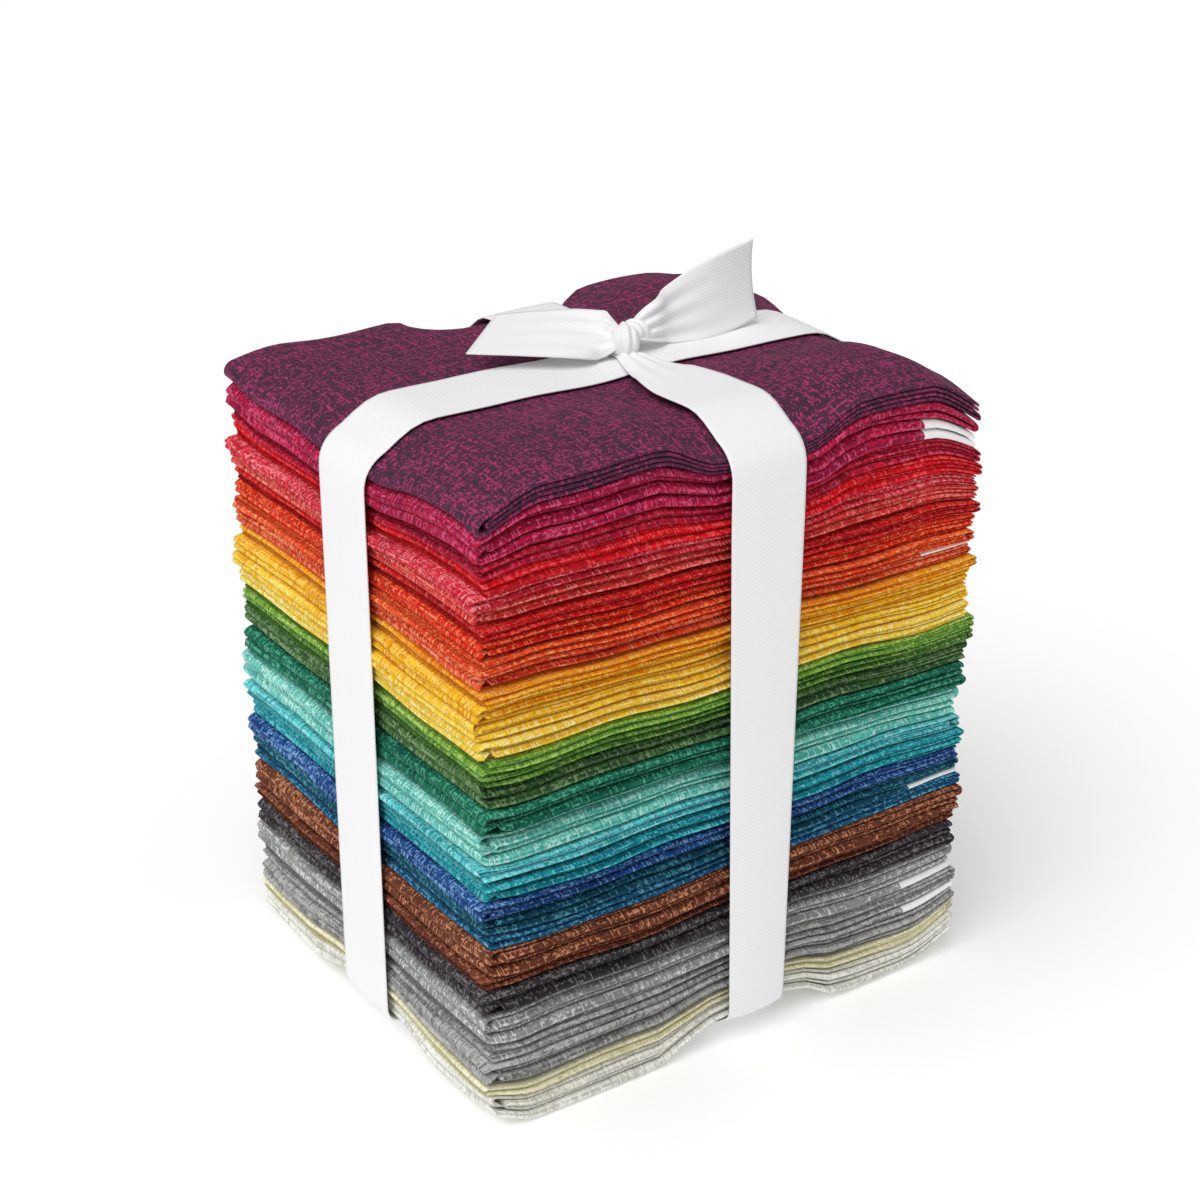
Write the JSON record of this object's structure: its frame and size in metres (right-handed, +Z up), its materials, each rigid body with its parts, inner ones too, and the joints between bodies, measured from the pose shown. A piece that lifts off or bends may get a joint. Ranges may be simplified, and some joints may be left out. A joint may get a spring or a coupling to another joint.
{
  "type": "fat quarter bundle",
  "caption": "Stack of folded quilting cotton fat quarters in a rainbow from off-white to plum, tied both ways with a white ribbon that is knotted on top.",
  "frame": {"origin": "middle of the bundle's box on the surface that it rests on", "axes": "+Z up through the stack; +X along the wide faces, on which the folded layers show in section; +Y along the narrow faces, on which the folds show as ridges; -Y is the front"},
  "size_m": [0.1442, 0.1186, 0.1806],
  "materials": {
    "cotton_off_white": "matte",
    "cotton_cream": "matte",
    "cotton_grey": "matte",
    "cotton_mid_grey": "matte",
    "cotton_light_grey": "matte",
    "cotton_charcoal": "matte",
    "cotton_brown": "matte",
    "cotton_rust": "matte",
    "cotton_blue_teal": "matte",
    "cotton_dark_teal": "matte",
    "cotton_royal_blue": "matte",
    "cotton_turquoise": "matte",
    "cotton_aqua": "matte",
    "cotton_mint": "matte",
    "cotton_teal_green": "matte",
    "cotton_sage": "matte",
    "cotton_olive": "matte",
    "cotton_light_green": "matte",
    "cotton_pale_yellow": "matte",
    "cotton_light_yellow": "matte",
    "cotton_golden": "matte",
    "cotton_yellow_orange": "matte",
    "cotton_coral_orange": "matte",
    "cotton_orange": "matte",
    "cotton_red_orange": "matte",
    "cotton_dark_red": "matte",
    "cotton_salmon": "matte",
    "cotton_coral_pink": "matte",
    "cotton_bright_red": "matte",
    "cotton_crimson": "matte",
    "cotton_raspberry": "matte",
    "cotton_plum": "matte",
    "ribbon_white": "satin"
  },
  "bodies": {
    "root": {"quarter_01_off_white": "cotton_off_white", "quarter_02_cream": "cotton_cream", "quarter_03_grey": "cotton_grey", "quarter_04_mid_grey": "cotton_mid_grey", "quarter_05_light_grey": "cotton_light_grey", "quarter_06_charcoal": "cotton_charcoal", "quarter_07_brown": "cotton_brown", "quarter_08_rust": "cotton_rust", "quarter_09_blue_teal": "cotton_blue_teal", "quarter_10_dark_teal": "cotton_dark_teal", "quarter_11_royal_blue": "cotton_royal_blue", "quarter_12_turquoise": "cotton_turquoise", "quarter_13_aqua": "cotton_aqua", "quarter_14_mint": "cotton_mint", "quarter_15_teal_green": "cotton_teal_green", "quarter_16_sage": "cotton_sage", "quarter_17_olive": "cotton_olive", "quarter_18_light_green": "cotton_light_green", "quarter_19_pale_yellow": "cotton_pale_yellow", "quarter_20_light_yellow": "cotton_light_yellow", "quarter_21_golden": "cotton_golden", "quarter_22_yellow_orange": "cotton_yellow_orange", "quarter_23_coral_orange": "cotton_coral_orange", "quarter_24_orange": "cotton_orange", "quarter_25_red_orange": "cotton_red_orange", "quarter_26_dark_red": "cotton_dark_red", "quarter_27_salmon": "cotton_salmon", "quarter_28_coral_pink": "cotton_coral_pink", "quarter_29_bright_red": "cotton_bright_red", "quarter_30_crimson": "cotton_crimson", "quarter_31_raspberry": "cotton_raspberry", "quarter_32_plum": "cotton_plum", "ribbon_band_x": "ribbon_white", "ribbon_band_y": "ribbon_white", "ribbon_knot": "ribbon_white", "ribbon_tail_left": "ribbon_white", "ribbon_tail_right": "ribbon_white"}
  },
  "joints": []
}
